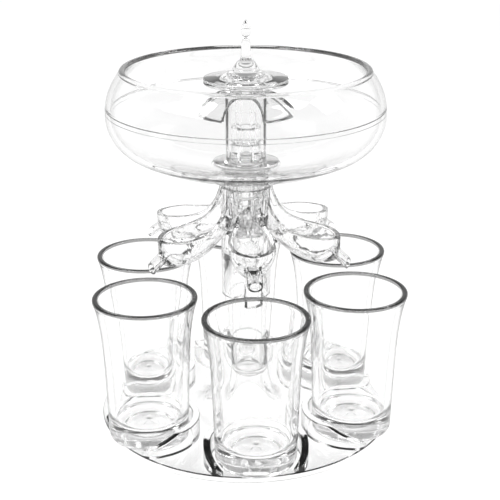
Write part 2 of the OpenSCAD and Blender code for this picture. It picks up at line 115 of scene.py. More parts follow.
def turned(name, outline, around=(0, 0), steps=128, crease=32, wave=None):
    # a surface of revolution: (x, y, z) = (cx + r cos v, cy + r sin v, z) for an outline (r, z)
    # that runs counter-clockwise. An outline that starts and ends on the axis gets a pole at both
    # ends, and `wave` makes r and z depend on the angle too
    outline = np.asarray(outline, float)
    poled = outline[0, 0] < 1e-6 and outline[-1, 0] < 1e-6
    inner = outline[1:-1] if poled else outline
    v = np.linspace(0, 2 * np.pi, steps, endpoint=False)[None, :]
    r, z = inner[:, 0][:, None] + 0 * v, inner[:, 1][:, None] + 0 * v
    if wave:
        r, z = wave(r, z, v)
    points = np.stack([around[0] + r * np.cos(v), around[1] + r * np.sin(v), z], -1)
    points = points.reshape(-1, 3)
    n = len(inner)
    i, j = np.arange(n - 1 if poled else n)[:, None], np.arange(steps)[None, :]
    k, up = (j + 1) % steps, (i + 1) % n
    quads = np.stack([i * steps + j, i * steps + k, up * steps + k, up * steps + j], -1)
    faces = [quads.reshape(-1, 4)]
    if poled:
        ends = [[*around, outline[0, 1]], [*around, outline[-1, 1]]]
        points = np.vstack([points, ends])
        j, k = j[0], k[0]
        low, high = np.full(steps, n * steps), np.full(steps, n * steps + 1)
        last = (n - 1) * steps
        faces += [np.column_stack([low, k, j]), np.column_stack([high, last + j, last + k])]
    return meshFrom(name, points, faces, crease)


def lofted(name, sections, crease=40, pinched=False):
    # closed sections of equal length joined in order; a flat face closes each end, or the last
    # section is pinched to a line and its doubled points are merged
    sections = np.asarray(sections, float)
    m, n = sections.shape[:2]
    i, j = np.arange(m - 1)[:, None], np.arange(n)[None, :]
    k = (j + 1) % n
    sides = np.stack([i * n + j, (i + 1) * n + j, (i + 1) * n + k, i * n + k], -1).reshape(-1, 4)
    ends = [[np.arange(n).tolist()], [((m - 1) * n + np.arange(n)[::-1]).tolist()]]
    piece = meshFrom(name, sections.reshape(-1, 3), [sides, *ends[:1 if pinched else 2]], crease)
    work = bmesh.new()
    work.from_mesh(piece.data)
    bmesh.ops.remove_doubles(work, verts=work.verts, dist=weld)
    bmesh.ops.recalc_face_normals(work, faces=work.faces)
    work.to_mesh(piece.data)
    work.free()
    return piece


def spun(points, degrees):
    # points turned about Z
    a = math.radians(degrees)
    turn = [[math.cos(a), math.sin(a), 0], [-math.sin(a), math.cos(a), 0], [0, 0, 1]]
    return np.asarray(points) @ np.array(turn)


def block(name, low, high, turn=0):
    # a box between two corners, used as a blank and turned about Z
    spans = zip(low, high)
    corners = np.stack(np.meshgrid(*spans, indexing="ij"), -1).reshape(-1, 3).astype(float)
    faces = [[(0, 1, 3, 2), (4, 6, 7, 5), (0, 4, 5, 1), (2, 3, 7, 6), (0, 2, 6, 4), (1, 5, 7, 3)]]
    return meshFrom(name, spun(corners, turn), faces)


def rod(name, start, end, radius, steps=48):
    # a round bar between two points: start + s axis + radius (cos v side + sin v up)
    start, end = np.asarray(start, float), np.asarray(end, float)
    axis = (end - start) / np.linalg.norm(end - start)
    side = np.cross(axis, (0, 0, 1) if abs(axis[2]) < 0.9 else (1, 0, 0))
    side /= np.linalg.norm(side)
    up = np.cross(side, axis)
    v = np.linspace(0, 2 * np.pi, steps, endpoint=False)[:, None]
    ring = radius * (np.cos(v) * side + np.sin(v) * up)
    return lofted(name, [start + ring, end + ring])


def turnedCopy(piece, degrees):
    # a copy of a blank turned about Z, in its mesh
    copy = bpy.data.objects.new(piece.name, piece.data.copy())
    bpy.context.scene.collection.objects.link(copy)
    copy.data.transform(Matrix.Rotation(math.radians(degrees), 4, "Z"))
    return copy


def fuse(piece, add=(), cut=(), crease=32):
    # joins some blanks to a piece and takes others away, then keeps only the finished mesh
    for operation, blanks in (("UNION", add), ("DIFFERENCE", cut)):
        if not blanks:
            continue
        group = bpy.data.collections.new(operation)
        for blank in blanks:
            group.objects.link(blank)
        tool = piece.modifiers.new(operation, "BOOLEAN")
        tool.operation = operation
        tool.operand_type = "COLLECTION"
        tool.collection = group
        tool.solver = "EXACT"
        tool.use_self = operation == "UNION"
    bpy.context.view_layer.update()
    solved = piece.evaluated_get(bpy.context.evaluated_depsgraph_get())
    made = bpy.data.meshes.new_from_object(solved)
    piece.modifiers.clear()
    old, piece.data = piece.data, made
    made.name = piece.name
    bpy.data.meshes.remove(old)
    for blank in [*add, *cut]:
        bpy.data.objects.remove(blank)
    made.polygons.foreach_set("use_smooth", np.ones(len(made.polygons), bool))
    made.set_sharp_from_angle(angle=math.radians(crease))
    return piece


def inPlaceOf(piece, body, slot, finish, *nodes):
    # the piece rides on a body and stands for its CAD nodes
    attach(piece, body)
    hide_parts(*nodes)
    piece.data.materials.clear()
    piece.data.materials.append(finish)
    return piece


def finishWhere(piece, finish, chosen):
    # gives a second finish to the faces that `chosen` picks from their centres (mm) and normals
    mesh = piece.data
    count = len(mesh.polygons)
    centre, normal, slots = np.empty(3 * count), np.empty(3 * count), np.empty(count, np.int32)
    mesh.polygons.foreach_get("center", centre)
    mesh.polygons.foreach_get("normal", normal)
    picked = chosen(centre.reshape(-1, 3) / mm, normal.reshape(-1, 3))
    mesh.polygons.foreach_get("material_index", slots)
    slots = np.where(picked, len(mesh.materials), slots).astype(np.int32)
    mesh.polygons.foreach_set("material_index", slots)
    mesh.materials.append(finish)
    mesh.update()


def level(node, top=0):
    # lowest (0) or highest (1) level of a CAD node, in millimetres
    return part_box(node)[top][2] / mm


def reach(node):
    # largest radius about the axis of a round CAD node, in millimetres
    return max(abs(c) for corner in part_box(node) for c in corner[:2]) / mm


plasticLook = {
    "tint": (0.99, 0.99, 0.99),
    # painted shade: the colour it darkens to where the view grazes the surface, and the facing
    # where that starts
    "rimTint": (0.1, 0.1, 0.1),
    "rimStart": 0.68,
    "ior": 1.49,
    "roughness": 0.02,
    "flowScale": 60.0,
    "flowTwist": 0.0,
    "flowDepth": 0.02,
    "flowHeight": 0.001,
    "shadow": 0.94,
}


def clearPlastic(name, look=plasticLook, **changes):
    # clear moulded plastic: painted shade darkens its colour where the view grazes its surface, and
    # it has faint flow marks
    look = {**look, **changes}
    material = bpy.data.materials.new(name)
    material.use_nodes = True
    nodes, links = material.node_tree.nodes, material.node_tree.links
    nodes.clear()
    out = nodes.new("ShaderNodeOutputMaterial")
    shader = nodes.new("ShaderNodeBsdfPrincipled")
    shader.inputs["Transmission Weight"].default_value = 1
    shader.inputs["IOR"].default_value = look["ior"]
    place = nodes.new("ShaderNodeTexCoord")
    noise = nodes.new("ShaderNodeTexNoise")
    noise.inputs["Scale"].default_value = look["flowScale"]
    noise.inputs["Detail"].default_value = 2
    noise.inputs["Distortion"].default_value = look["flowTwist"]
    links.new(place.outputs["Object"], noise.inputs["Vector"])
    rough = nodes.new("ShaderNodeMapRange")
    rough.inputs["To Min"].default_value = look["roughness"] * 0.5
    rough.inputs["To Max"].default_value = look["roughness"] * 1.5
    links.new(noise.outputs["Fac"], rough.inputs["Value"])
    links.new(rough.outputs["Result"], shader.inputs["Roughness"])
    bump = nodes.new("ShaderNodeBump")
    bump.inputs["Strength"].default_value = look["flowDepth"]
    bump.inputs["Distance"].default_value = look["flowHeight"]
    links.new(noise.outputs["Fac"], bump.inputs["Height"])
    links.new(bump.outputs["Normal"], shader.inputs["Normal"])
    # painted shade: the base colour darkens towards the outline, by how much the view grazes the
    # surface
    facing = nodes.new("ShaderNodeLayerWeight")
    facing.inputs["Blend"].default_value = 0.5
    ramp = nodes.new("ShaderNodeValToRGB")
    ramp.color_ramp.elements[0].position = look["rimStart"]
    ramp.color_ramp.elements[0].color = (*look["tint"], 1)
    ramp.color_ramp.elements[1].position = 1
    ramp.color_ramp.elements[1].color = (*look["rimTint"], 1)
    # the painted shade counts once, where the ray enters the plastic, and not inside it
    side = nodes.new("ShaderNodeNewGeometry")
    outside = nodes.new("ShaderNodeMath")
    outside.operation = "SUBTRACT"
    outside.inputs[0].default_value = 1
    links.new(side.outputs["Backfacing"], outside.inputs[1])
    once = nodes.new("ShaderNodeMath")
    once.operation = "MULTIPLY"
    links.new(facing.outputs["Facing"], once.inputs[0])
    links.new(outside.outputs["Value"], once.inputs[1])
    links.new(once.outputs["Value"], ramp.inputs["Fac"])
    links.new(ramp.outputs["Color"], shader.inputs["Base Color"])
    seen = nodes.new("ShaderNodeLightPath")
    passing = nodes.new("ShaderNodeBsdfTransparent")
    passing.inputs["Color"].default_value = (look["shadow"],) * 3 + (1,)
    pick = nodes.new("ShaderNodeMixShader")
    links.new(seen.outputs["Is Shadow Ray"], pick.inputs["Fac"])
    links.new(shader.outputs["BSDF"], pick.inputs[1])
    links.new(passing.outputs["BSDF"], pick.inputs[2])
    links.new(pick.outputs["Shader"], out.inputs["Surface"])
    return material


siliconeLook = {
    "clear": 0.88, "ior": 1.41, "grain": 900, "tones": (0.93, 0.99), "roughness": (0.25, 0.45),
}


def siliconeFinish(name, look=siliconeLook):
    # milky soft silicone with a fine grain
    material = bpy.data.materials.new(name)
    material.use_nodes = True
    nodes, links = material.node_tree.nodes, material.node_tree.links
    shader = nodes["Principled BSDF"]
    shader.inputs["Transmission Weight"].default_value = look["clear"]
    shader.inputs["IOR"].default_value = look["ior"]
    place = nodes.new("ShaderNodeTexCoord")
    noise = nodes.new("ShaderNodeTexNoise")
    noise.inputs["Scale"].default_value = look["grain"]
    links.new(place.outputs["Object"], noise.inputs["Vector"])
    ramp = nodes.new("ShaderNodeValToRGB")
    for stop, tone in zip(ramp.color_ramp.elements, look["tones"]):
        stop.color = (tone,) * 3 + (1,)
    links.new(noise.outputs["Fac"], ramp.inputs["Fac"])
    links.new(ramp.outputs["Color"], shader.inputs["Base Color"])
    rough = nodes.new("ShaderNodeMapRange")
    rough.inputs["To Min"].default_value, rough.inputs["To Max"].default_value = look["roughness"]
    links.new(noise.outputs["Fac"], rough.inputs["Value"])
    links.new(rough.outputs["Result"], shader.inputs["Roughness"])
    return material


satinLook = {
    "roughness": 0.45, "marks": (900, 900, 40), "tones": (0.92, 1.0), "markDepth": 0.15,
    "markHeight": 0.0002,
}


def satinFinish(name, look=satinLook):
    # the plate's sawn rim: satin white with fine upright saw marks
    material = bpy.data.materials.new(name)
    material.use_nodes = True
    nodes, links = material.node_tree.nodes, material.node_tree.links
    shader = nodes["Principled BSDF"]
    shader.inputs["Roughness"].default_value = look["roughness"]
    place = nodes.new("ShaderNodeTexCoord")
    stretch = nodes.new("ShaderNodeMapping")
    stretch.inputs["Scale"].default_value = look["marks"]
    noise = nodes.new("ShaderNodeTexNoise")
    noise.inputs["Scale"].default_value = 1
    ramp = nodes.new("ShaderNodeValToRGB")
    for stop, tone in zip(ramp.color_ramp.elements, look["tones"]):
        stop.color = (tone,) * 3 + (1,)
    bump = nodes.new("ShaderNodeBump")
    bump.inputs["Strength"].default_value = look["markDepth"]
    bump.inputs["Distance"].default_value = look["markHeight"]
    links.new(place.outputs["Object"], stretch.inputs["Vector"])
    links.new(stretch.outputs["Vector"], noise.inputs["Vector"])
    links.new(noise.outputs["Fac"], ramp.inputs["Fac"])
    links.new(ramp.outputs["Color"], shader.inputs["Base Color"])
    links.new(noise.outputs["Fac"], bump.inputs["Height"])
    links.new(bump.outputs["Normal"], shader.inputs["Normal"])
    return material


bowlPlastic = clearPlastic("bowlPlastic")
mouldedPlastic = clearPlastic("mouldedPlastic", rimStart=0.55, rimTint=(0.2, 0.2, 0.2),
                              flowDepth=0.05)
shotGlassPlastic = clearPlastic("shotGlassPlastic")
spoutPlastic = clearPlastic("spoutPlastic", rimStart=0.5, flowScale=150.0, flowDepth=0.16,
                            flowTwist=1.2)
tubePlastic = clearPlastic("tubePlastic", rimStart=0.85, rimTint=(0.5, 0.5, 0.5))
rimPlastic = satinFinish("rimPlastic")
# painted shade: a dark colour for the top of each glass's lip
lipPaintedShade = clearPlastic("lipPaintedShade", tint=(0.13, 0.13, 0.13), rimTint=(0.08, 0.08, 0.08))
# frosted faces whose dark colour is painted shade, for cut edges, guard ends, port sides and beads
cutEdgePaintedShade = clearPlastic("cutEdgePaintedShade", tint=(0.14, 0.14, 0.14), rimTint=(0.08, 0.08, 0.08),
                          roughness=0.12, flowScale=900.0, flowDepth=0.5)
silicone = siliconeFinish("silicone")
print("finishes made")

bowlShape = {
    "belly": 66.9, "rim": 58.8, "bellyHeight": 31.5, "height": 52.5, "bend": 21.0, "wall": 2.6,
    "join": 0.4, "seam": 3.7, "step": 0.6, "groove": 2.7, "grooveDeep": 0.12, "fit": 0.05,
    "crownPower": 2.16, "hole": 9.25, "seat": 12.8, "padRoom": 0.8,
}


def makeBowl():
    # the skin is a shallow dish about the axis, a tight bend, and a crown drawn in to the rim.
    # Dish and bend are circles that touch: R = (c^2 + h^2 - b^2) / 2(h - b). The crown's radius
    # is belly - drawn t^power, with t the share of its height
    s = bowlShape
    bottom, z0 = level("bowl_lower"), level("bowl_lower") + s["bellyHeight"]
    c, h, b = s["belly"] - s["bend"], s["bellyHeight"], s["bend"]
    dish = (c * c + h * h - b * b) / (2 * (h - b))
    swing = math.degrees(math.asin(c / (dish - b)))
    drawn, rise = s["belly"] - s["rim"], s["height"] - h
    seam, lap = z0 + s["seam"], z0 + s["seam"] - s["step"]
    lip = s["belly"] - s["wall"] / 2

    def lower(inset, start):
        a = math.degrees(math.asin(start / (dish - inset)))
        return np.vstack([arc((0, bottom + dish), dish - inset, 270 + a, 270 + swing, 28),
                          arc((c, z0), b - inset, 270 + swing, 360, 28)[1:]])

    def upper(inset, low, high):
        z = np.linspace(low, high, 20)
        t, power = (z - z0) / rise, s["crownPower"]
        slope = power * drawn / rise * t ** (power - 1)
        r = s["belly"] - drawn * t ** power - inset * np.sqrt(1 + slope ** 2)
        return np.column_stack([r, z])

    # a fine step inside the skin, level with the lap of the solid
    crownFoot = z0 + s["join"]
    grooved = upper(s["wall"], crownFoot, lap)[::-1]
    grooved[:, 0] += s["grooveDeep"] * (grooved[:, 1] > seam - s["groove"])
    hole, seat, floor = s["hole"], s["seat"], level("outlet_gasket")
    pad = reach("outlet_gasket") + s["padRoom"]
    outline = np.vstack([[[hole, bottom], [seat, bottom]], lower(0, seat + 0.5),
                         upper(0, crownFoot, seam), [[lip, seam], [lip, lap]], grooved,
                         lower(s["wall"], pad)[::-1], [[pad, floor], [hole, floor]]])
    shell = turned("bowlLower", soften(outline, 0.35, 3, 25), steps=180)
    inPlaceOf(shell, "bowl", "clear_acrylic", bowlPlastic, "bowl_lower")
    top = bottom + s["height"]
    roundAt = top - s["wall"] / 2
    outer, inner = upper(0, seam + hair, roundAt), upper(s["wall"], lap + hair, roundAt)[::-1]
    tip = (outer[-1] + inner[0]) / 2
    half = np.linalg.norm(outer[-1] - inner[0]) / 2
    outline = np.vstack([outer, arc(tip, half, 10, 170, 12), inner,
                         [[lip - s["fit"], lap + hair], [lip - s["fit"], seam + hair]]])
    collar = turned("bowlCollar", soften(outline, 0.3, 3, 40), steps=180)
    inPlaceOf(collar, "bowl", "clear_acrylic", bowlPlastic, "bowl_collar")


makeBowl()
print("bowl made")

glassShape = {
    "circle": 58.3, "height": 73.4, "rim": 25.0, "body": 19.5, "foot": 3.0, "wall": 2.6,
    "lowWall": 3.4, "floor": 9.5, "floorRadius": 12.4, "hollow": 0.5, "swell": 0.36,
    "flarePower": 6, "lip": 0.7, "rippleHigh": 0.05, "ripples": 14,
    "gateMark": [(0, 0.6), (2.2, 0.6), (2.4, 0.5)],
    "places": ["front", "front_right", "back_right", "back", "back_left", "front_left"],
}


def makeGlasses():
    # outer radius body + (rim - body)(swell t + (1 - swell) t^power), with t the share of the
    # height. The floor inside has faint ripples: z = floor + high (1 - u) cos(ripples u)
    s = glassShape
    base = level("shot_glass_front")
    h = s["height"] - s["wall"] / 2

    def outer(t):
        flare = s["swell"] * t + (1 - s["swell"]) * t ** s["flarePower"]
        return s["body"] + (s["rim"] - s["body"]) * flare

    def inner(t):
        return outer(t) - (s["lowWall"] + (s["wall"] - s["lowWall"]) * t)

    bendRadius = inner(s["floor"] / h) - s["floorRadius"]
    tOut = np.linspace(s["foot"] / h, 1, 40)
    tIn = np.linspace(1, (s["floor"] + bendRadius) / h, 40)
    tip, half = (outer(1) + inner(1)) / 2, (outer(1) - inner(1)) / 2
    lip = np.vstack([arc((tip + half - s["lip"], h + half - s["lip"]), s["lip"], 0, 90, 6),
                     arc((tip - half + s["lip"], h + half - s["lip"]), s["lip"], 90, 180, 6)])
    ripple = np.linspace(1, 0.12, 12)
    wave = s["rippleHigh"] * np.cos(ripple * s["ripples"]) * (1 - ripple)
    floorLine = np.column_stack([s["floorRadius"] * ripple, s["floor"] + wave])
    outline = np.vstack([
        s["gateMark"], [[s["floorRadius"] - 0.6, s["hollow"]], [s["floorRadius"] + 0.4, 0]],
        arc((s["body"] - s["foot"], s["foot"]), s["foot"], 270, 352, 10),
        np.column_stack([outer(tOut), tOut * h]), lip,
        np.column_stack([inner(tIn), tIn * h]),
        arc((s["floorRadius"], s["floor"] + bendRadius), bendRadius, 350, 272, 10), floorLine,
        [[1.2, s["floor"] + 0.04], [0, s["floor"] + 0.1]]])
    outline = soften(outline, 0.5, 3, 25) + [0, base + hair]
    for i, place in enumerate(s["places"]):
        a = math.radians(-90 + 60 * i)
        centre = (s["circle"] * math.cos(a), s["circle"] * math.sin(a))
        glass = turned("shotGlass_" + place, outline, centre, 112)
        inPlaceOf(glass, "glass_" + place, "shot_glass", shotGlassPlastic, "shot_glass_" + place)
        # the lip's top faces get the painted shade
        finishWhere(glass, lipPaintedShade, lambda centre, normal: centre[:, 2] > base + h - 0.1)


makeGlasses()
print("glasses made")

plateShape = {
    "radius": 74.5, "thickness": 3.0, "edge": 0.8, "guardInner": 21.6, "guardWall": 3.4,
    "guardHeight": 10.5, "middle": 9.25, "slope": 23.8, "sunk": 0.6, "inset": 0.4,
    "pedestalTop": 12.4, "pedestalFoot": 30.5, "flareHeight": 29.0, "wall": 2.4,
    "pedestalHeight": 39.0, "socketDepth": 16.0, "socket": 10.05,
}


def makePlate():
    s = plateShape
    t, top = s["thickness"], s["thickness"] + s["pedestalHeight"]
    socket = top - s["socketDepth"]

    def flare(foot, neck, low, high):
        # a quarter of an ellipse, level at the foot and upright at the neck
        a = np.radians(np.linspace(0, 90, 25))
        return np.column_stack([foot - (foot - neck) * np.sin(a), high - (high - low) * np.cos(a)])

    hollow = s["pedestalTop"] - s["wall"] - s["edge"]
    outline = np.vstack([
        [[0, socket - s["wall"]]],
        flare(s["pedestalFoot"] - s["wall"], hollow, 0, socket - s["wall"])[::-1],
        [[s["radius"], 0], [s["radius"], t]],
        flare(s["pedestalFoot"], s["pedestalTop"], t, t + s["flareHeight"]),
        [[s["pedestalTop"], top], [s["socket"], top], [s["socket"], socket], [0, socket]]])
    plate = turned("basePlate", soften(outline, 0.7, 4, 20), steps=192)
    # a guard's section: share of the wall, foot (0) or top (1), and drop at a rounded corner.
    # Its wall of radius rho ends at the plate's edge, where
    # cos(end) = (limit^2 - circle^2 - rho^2) / 2 circle rho
    section = [(0, 0, 0), (1, 0, 0), (1, 1, 0.45), (0.93, 1, 0.12), (0.8, 1, 0),
               (0.2, 1, 0), (0.07, 1, 0.12), (0, 1, 0.45)]
    share, high, drop = np.array(section).T[:, :, None]
    rho = s["guardInner"] + share * s["guardWall"]
    circle, limit = glassShape["circle"], s["radius"] - s["inset"]
    end = np.arccos((limit ** 2 - circle ** 2 - rho ** 2) / (2 * circle * rho))
    theta = end + (2 * np.pi - 2 * end) * np.linspace(0, 1, 97)[None, :]
    out = rho * np.cos(theta)
    height = np.minimum(s["guardHeight"], s["middle"] - math.tan(math.radians(s["slope"])) * out)
    z = np.where(high > 0, t + height - drop, t - s["sunk"])
    grid = np.stack([rho * np.sin(theta), -circle - out, z + 0 * theta], -1).transpose(1, 0, 2)
    points = grid[::-1].reshape(-1, 3)
    guards = [lofted("guard", spun(points, 60 * i).reshape(grid.shape)) for i in range(6)]
    fuse(plate, add=guards)
    inPlaceOf(plate, "base", "clear_acrylic", mouldedPlastic, "base_plate")

    def guardEnds(centre, normal):
        # faces of the guards that look along the wall, not across it; they get painted shade
        a = np.radians(60 * np.arange(6) - 90)
        away = centre[:, None, :2] - circle * np.stack([np.cos(a), np.sin(a)], -1)
        far = np.linalg.norm(away, axis=2)
        nearest = far.argmin(1)
        away, far = away[np.arange(len(away)), nearest], far.min(1)
        across = np.abs((away * normal[:, :2]).sum(1)) / far
        inWall = (far > s["guardInner"]) & (far < s["guardInner"] + s["guardWall"])
        return inWall & (centre[:, 2] > t + 0.1) & (across < 0.4) & (np.abs(normal[:, 2]) < 0.6)

    def sawnRim(centre, normal):
        far = np.hypot(centre[:, 0], centre[:, 1])
        return (far > s["radius"] - 0.15) & (np.abs(normal[:, 2]) < 0.35)

    # the guard ends get painted shade
    finishWhere(plate, cutEdgePaintedShade, guardEnds)
    finishWhere(plate, rimPlastic, sawnRim)


makePlate()
print("base plate made")

columnShape = {
    "spigot": 10.0, "outer": 10.8, "bore": 8.3, "latchWide": 9.2, "latchTall": 12.4,
    "latchTurn": 22, "latchLift": 0.8,
}


def makeColumn():
    s = columnShape
    low, top = level("column_tube"), level("column_tube", 1)
    low, top, step = low + hair, top - hair, low + plateShape["socketDepth"] + hair
    outline = [[s["bore"], low], [s["spigot"], low], [s["spigot"], step], [s["outer"], step],
               [s["outer"], top], [s["bore"], top]]
    column = turned("columnTube", soften(outline, 0.4, 3), steps=128)
    half, z = s["latchWide"] / 2, level("diverter") - s["latchTall"] / 2 + s["latchLift"]
    low, high = (-half, -toolReach, z), (half, 0, z + s["latchTall"])
    cuts = [block("latch", low, high, a + s["latchTurn"]) for a in (0, 180)]
    fuse(column, cut=cuts)
    inPlaceOf(column, "base", "clear_acrylic", mouldedPlastic, "column_tube")


makeColumn()

diverterShape = {
    "wall": 2.4, "rootAt": 10.5, "fullAt": 32.0, "flatAt": 40.5, "endAt": 49.5, "endRound": 11.0,
    "endPower": 1.2, "neckHalf": 5.2, "half": 11.0, "lift": 0.1, "keelRise": 11.2, "rimStep": 0.4,
    "rimDrop": 15.7, "rimSweep": 5.0, "rimFall": 5.2, "lip": 0.4, "outerCorner": 0.25,
    "innerCorner": 0.67, "neck": 12.0, "neckBore": 9.5, "sleeve": 12.3, "splitter": 8.0,
    "columnFit": 10.85, "nozzleWide": 3.7, "nozzleTall": 2.8, "nozzleWall": 1.0, "slope": 37.0,
    "reach": 54.0, "nozzleLift": 1.7, "inletWide": 5.2, "inletTall": 6.0,
}


def spoutSkin(name, inset, corner, lip, lid):
    # one skin of a trough, `inset` inside its outer face. Along the spout the half width eases
    # from neck to end, the underside falls as a parabola and the rim sweeps down as
    # 1 - exp(-d / sweep). The end closes as r = s + n sin^power a, width cos^power a and depth
    # cos^corner a. Across it, y = w sin p and z = rim - d cos p, and the rim's edge is a quarter
    # circle of radius lip, bent outwards where lip is negative
    s = diverterShape
    top, neckTop = level("column_tube", 1), level("diverter", 1)
    end, bend = s["endAt"] - inset, s["endRound"] - inset / 2
    straight, power = 26, s["endPower"]
    closing = np.concatenate([np.linspace(5, 75, 15), [79, 82.5, 85, 87, 88.5, 89.5, 90]])
    a = np.radians(np.concatenate([np.zeros(straight), closing]))
    along = np.concatenate([np.linspace(0, 1, straight) ** 1.6, np.ones(len(closing))])
    r = s["rootAt"] + (end - bend - s["rootAt"]) * along + bend * np.sin(a) ** power
    far = np.maximum(0, r - s["neck"])
    grown = ease(far / (s["fullAt"] - s["neck"]))
    half = s["neckHalf"] + (s["half"] - s["neckHalf"]) * grown - inset
    keel = np.maximum(0, (s["flatAt"] - r) / (s["flatAt"] - s["neck"])) ** 2
    under = top + s["lift"] + s["keelRise"] * keel
    rim = neckTop - s["rimStep"] - s["rimDrop"] * (1 - np.exp(-far / s["rimSweep"]))
    rim -= far * math.tan(math.radians(s["rimFall"]))
    left = np.maximum(np.cos(a), 0)
    wide, deep = half * left ** power, (rim - under - inset) * left ** corner
    normal = np.stack([-np.gradient(wide), np.gradient(r)])
    normal /= np.linalg.norm(normal, axis=0)
    normal[:, -1] = 1, 0
    across = 37
    p = np.radians(np.linspace(-90, 90, across))
    b = np.radians(np.array([30, 60, 90]))
    share = np.concatenate([-np.ones(4), np.sin(p), np.ones(4)])
    hang = np.concatenate([np.zeros(4), np.cos(p), np.zeros(4)])
    bent = lip * np.concatenate([[1], 1 - np.cos(b[::-1]), np.zeros(across), 1 - np.cos(b), [1]])
    size = abs(lip)
    lift = np.concatenate([[lid], size * (np.sin(b[::-1]) - 1), np.full(across, -size),
                           size * (np.sin(b) - 1), [lid]])
    y = share * (wide[:, None] - bent * normal[1][:, None])
    y = np.where(share * y < 0, 0, y)
    x = r[:, None] - bent * normal[0][:, None]
    z = rim[:, None] + lift - np.maximum(0, deep - size)[:, None] * hang
    return lofted(name, np.stack([y, -x, z], -1), pinched=True)


def nozzleBar(name, inset, inward, outward, blunt):
    # an oval bar with upright sections, sheared by the slope:
    # x = w cos v, z = h sin v - far tan(slope)
    s = diverterShape
    v = np.linspace(0, 2 * np.pi, 48, endpoint=False)[None, :]
    far = np.array([-inward, outward - 0.35, outward - 0.1, outward])[:, None]
    size = np.array([0, 0, 0.3 * blunt, blunt])[:, None]
    wide, tall = s["nozzleWide"] - inset - size, s["nozzleTall"] - inset - size
    fall = far * math.tan(math.radians(s["slope"]))
    z = level("column_tube", 1) + s["nozzleLift"] - fall + tall * np.sin(v)
    return lofted(name, np.stack([wide * np.cos(v), -(s["reach"] + far + 0 * v), z], -1))


def makeDiverter():
    s = diverterShape
    top, sleeveEnd, neckTop = level("column_tube", 1), level("diverter"), level("diverter", 1)
    wall, core = s["wall"], top + s["lift"] + s["keelRise"] + s["wall"]
    root = s["reach"] - s["endAt"] + 0.85 * wall
    spout = spoutSkin("spout", 0, s["outerCorner"], s["lip"], 0)
    fuse(spout, cut=[spoutSkin("trough", wall, s["innerCorner"], -s["lip"], 6)])
    nozzle = nozzleBar("nozzle", 0, root, 0, 0.15)
    bore = nozzleBar("bore", s["nozzleWall"], root + 2 * wall, 0.5, 0)
    half = s["inletWide"] / 2
    port = block("port", (-half, -s["neck"] - 0.25, core),
                 (half, -s["neckBore"] + 0.5, core + s["inletTall"]))
    outline = [[0, sleeveEnd], [s["sleeve"], sleeveEnd], [s["sleeve"], top],
               [s["neck"], core - wall / 2], [s["neck"], neckTop], [0, neckTop]]
    diverter = turned("diverter", soften(outline, 0.4, 3, 25), steps=144)
    blanks = (spout, nozzle, bore, port)
    around = [[turnedCopy(blank, 60 * i) for i in range(6)] for blank in blanks]
    for blank in blanks:
        bpy.data.objects.remove(blank)
    spouts, nozzles, bores, ports = around
    neckBore, columnBore, fit = s["neckBore"], columnShape["bore"], s["columnFit"]
    cone, above, below = core + s["splitter"], neckTop + 0.3, sleeveEnd - 0.5
    outline = [[0, cone], [neckBore, core], [neckBore, neckTop - 0.4], [neckBore + 0.7, above],
               [0, above]]
    chamber = turned("chamber", outline, steps=96)
    outline = [[0, below], [fit + 0.8, below], [fit, sleeveEnd + 0.3], [fit, top],
               [columnBore, top], [columnBore, core - 2 * wall], [0, cone - 2 * wall]]
    hollow = turned("hollow", outline, steps=96)
    fuse(diverter, add=[*spouts, *nozzles], cut=[*bores, *ports, chamber, hollow], crease=38)
    inPlaceOf(diverter, "base", "clear_acrylic", spoutPlastic, "diverter")

    def portSides(centre, normal):
        far = np.hypot(centre[:, 0], centre[:, 1])
        across = np.abs((centre[:, :2] * normal[:, :2]).sum(1)) / far
        inWall = (far > s["neckBore"] + 0.1) & (far < s["neck"] + 0.1)
        inPort = (centre[:, 2] > core + 0.1) & (centre[:, 2] < core + s["inletTall"] - 0.1)
        return inWall & inPort & (across < 0.5) & (np.abs(normal[:, 2]) < 0.3)

    # the port's sides get painted shade
    finishWhere(diverter, cutEdgePaintedShade, portSides)


makeDiverter()
print("column and diverter made")

outletShape = {
    "shank": 9.2, "outlet": 6.0, "drop": 8.0, "ring": 0.6, "neck": 12.0, "flange": 16.0,
    "flangeThick": 1.8, "tube": 9.75, "bore": 7.6, "turnedDown": 9.0, "hubRing": 2.0,
    "windowWide": 8.8, "windowTall": 15.8, "sill": 11.4, "portWide": 7.0, "portTall": 6.0,
    "portLift": 0.8, "turn": -5, "fit": 0.05, "grips": 16, "gripDeep": 0.5, "cap": 10.4,
    "capThick": 2.0, "rodRadius": 5.1, "threads": 4, "threadFrom": 0.6, "threadDeep": 0.35,
}


